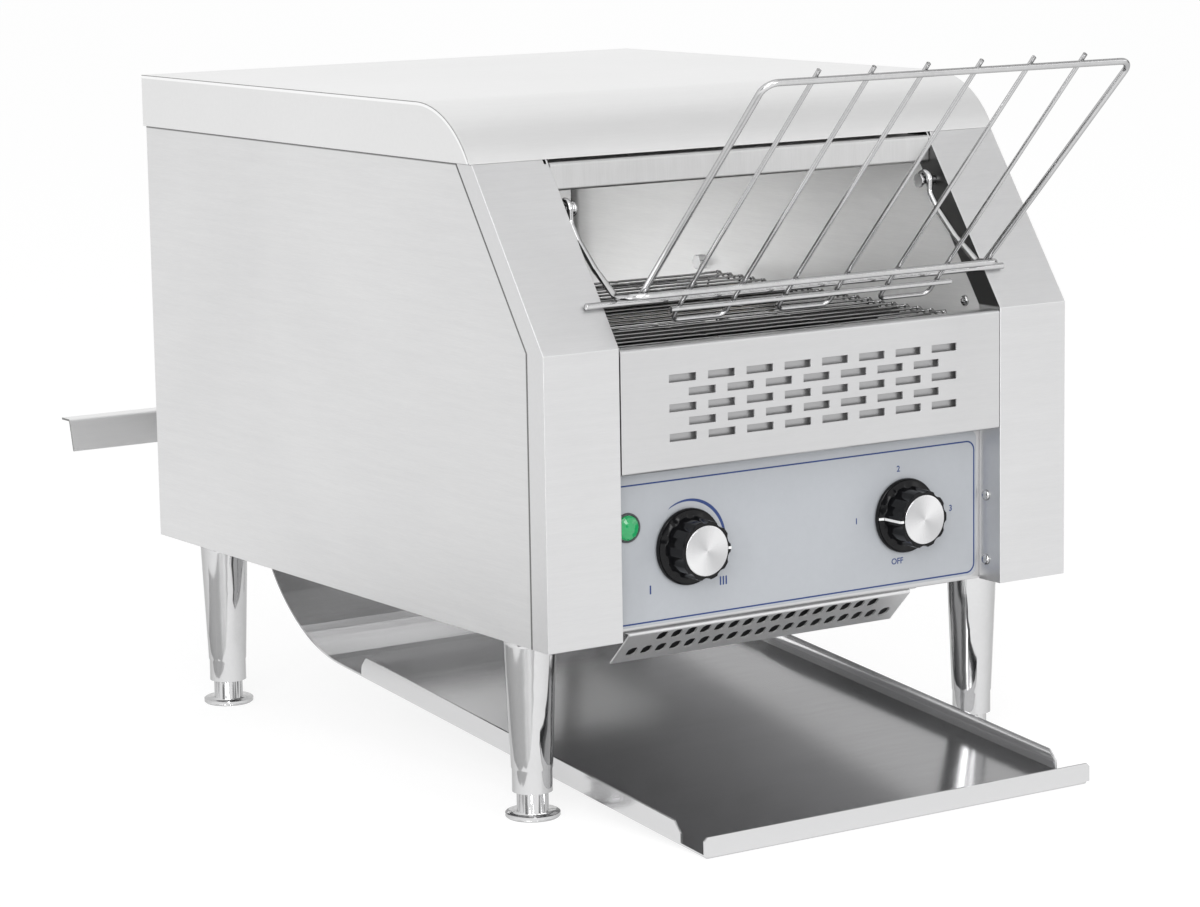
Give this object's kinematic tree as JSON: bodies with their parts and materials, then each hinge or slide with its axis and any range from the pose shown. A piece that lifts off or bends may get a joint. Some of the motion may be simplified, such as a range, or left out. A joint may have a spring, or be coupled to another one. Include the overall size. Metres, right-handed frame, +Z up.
{
  "type": "conveyor toaster",
  "caption": "Counter-top conveyor toaster with a tilting wire loading rack, hooked-wire belt, two control knobs, sliding toast tray and screw-adjustable legs.",
  "frame": {"origin": "on the counter, under the middle of the whole machine with its rack and rear guard", "axes": "+Z up, -Y towards the user at the loading side, +X to the user's right"},
  "size_m": [0.371, 0.7212, 0.4254],
  "materials": {
    "steel": "fine horizontal brushing",
    "cover_steel": "satin, near white",
    "inner_steel": "satin, slightly darkened by heat",
    "zinc_steel": "plain zinc-plated sheet",
    "chrome": "bright plated",
    "tray_steel": "polished",
    "belt_wire": "bare wire",
    "aluminium": "spun, with fine rings",
    "black_plastic": "gloss black",
    "switch_plastic": "matt black",
    "label": "printed blue-grey panel",
    "lens": "clear green",
    "quartz": "milky quartz",
    "ceramic": "glazed ceramic",
    "bronze": "plain bearing bronze",
    "motor_paint": "dark grey paint",
    "nylon": "black nylon"
  },
  "bodies": {
    "casing": {"base_plate": "zinc_steel", "belt_supports": "zinc_steel", "casing_screws": "chrome", "control_label": "label", "control_panel": "steel", "conveyor_belt": "belt_wire", "cord_gland": "nylon", "drive_chain": "zinc_steel", "front_pillar_left": "steel", "front_pillar_right": "steel", "gear_motor": "motor_paint", "heat_shield": "inner_steel", "heater_ends": "ceramic", "heater_tubes": "quartz", "inner_back": "inner_steel", "inner_wall_left": "inner_steel", "inner_wall_right": "inner_steel", "lamp_body": "switch_plastic", "lamp_lens": "lens", "leg_nuts": "zinc_steel", "legs": "chrome", "lintel": "steel", "motor_bracket": "zinc_steel", "rack_studs": "chrome", "rear_guard": "steel", "rear_panel": "steel", "selector_switch": "switch_plastic", "shaft_bushes": "bronze", "side_cover_left": "steel", "side_cover_right": "steel", "slotted_panel": "steel", "speed_regulator": "switch_plastic", "terminal_block": "switch_plastic", "top_cover": "cover_steel", "upper_reflector": "inner_steel", "vent_guard": "steel", "wing_screws": "chrome"},
    "rack": {"rack_arm_rail": "chrome", "rack_support_rod": "chrome", "rack_frame": "chrome", "rack_rods": "chrome", "rack_lower_rail": "chrome"},
    "tray": {"toast_tray": "tray_steel"},
    "speed_knob": {"speed_knob": "black_plastic", "speed_knob_cap": "aluminium", "speed_spindle": "chrome"},
    "selector_knob": {"selector_knob": "black_plastic", "selector_knob_cap": "aluminium", "selector_spindle": "chrome"},
    "idler": {"idler_shaft": "zinc_steel", "idler_sprockets": "zinc_steel"},
    "drive": {"drive_shaft": "zinc_steel", "drive_sprockets": "zinc_steel", "shaft_chain_sprocket": "zinc_steel"},
    "motor_output": {"motor_shaft": "zinc_steel", "motor_chain_sprocket": "zinc_steel"},
    "foot_front_left": {"foot_front_left": "chrome"},
    "foot_front_right": {"foot_front_right": "chrome"},
    "foot_rear_left": {"foot_rear_left": "chrome"},
    "foot_rear_right": {"foot_rear_right": "chrome"}
  },
  "joints": [
    {"name": "rack_tilt", "type": "hinge", "parent": "casing", "child": "rack", "pos_m": [0, -0.17389, 0.341], "axis": [-1, 0, 0], "range_deg": [0, 60]},
    {"name": "tray_slide", "type": "slide", "parent": "casing", "child": "tray", "axis": [0, -1, 0], "range_m": [0, 0.1]},
    {"name": "speed_knob_turn", "type": "hinge", "parent": "casing", "child": "speed_knob", "pos_m": [-0.0775, -0.23539, 0.151], "axis": [0, 1, 0], "range_deg": [-225, 45]},
    {"name": "selector_knob_turn", "type": "hinge", "parent": "casing", "child": "selector_knob", "pos_m": [0.0775, -0.23539, 0.151], "axis": [0, 1, 0], "range_deg": [-90, 180]},
    {"name": "drive_shaft_spin", "type": "hinge", "parent": "casing", "child": "drive", "pos_m": [0, 0.03058, 0.2529], "axis": [1, 0, 0], "continuous": true},
    {"name": "idler_shaft_spin", "type": "hinge", "parent": "casing", "child": "idler", "pos_m": [0, -0.19739, 0.24892], "axis": [1, 0, 0], "continuous": true},
    {"name": "motor_output_spin", "type": "hinge", "parent": "casing", "child": "motor_output", "pos_m": [0, -0.02542, 0.15591], "axis": [1, 0, 0], "continuous": true},
    {"name": "foot_front_left_screw", "type": "slide", "parent": "casing", "child": "foot_front_left", "axis": [0, 0, -1], "range_m": [0, 0.012]},
    {"name": "foot_front_right_screw", "type": "slide", "parent": "casing", "child": "foot_front_right", "axis": [0, 0, -1], "range_m": [0, 0.012]},
    {"name": "foot_rear_left_screw", "type": "slide", "parent": "casing", "child": "foot_rear_left", "axis": [0, 0, -1], "range_m": [0, 0.012]},
    {"name": "foot_rear_right_screw", "type": "slide", "parent": "casing", "child": "foot_rear_right", "axis": [0, 0, -1], "range_m": [0, 0.012]}
  ],
  "couplings": [
    {"joint": "idler_shaft_spin", "follows": "drive_shaft_spin", "ratio": 1},
    {"joint": "motor_output_spin", "follows": "drive_shaft_spin", "ratio": 1}
  ]
}
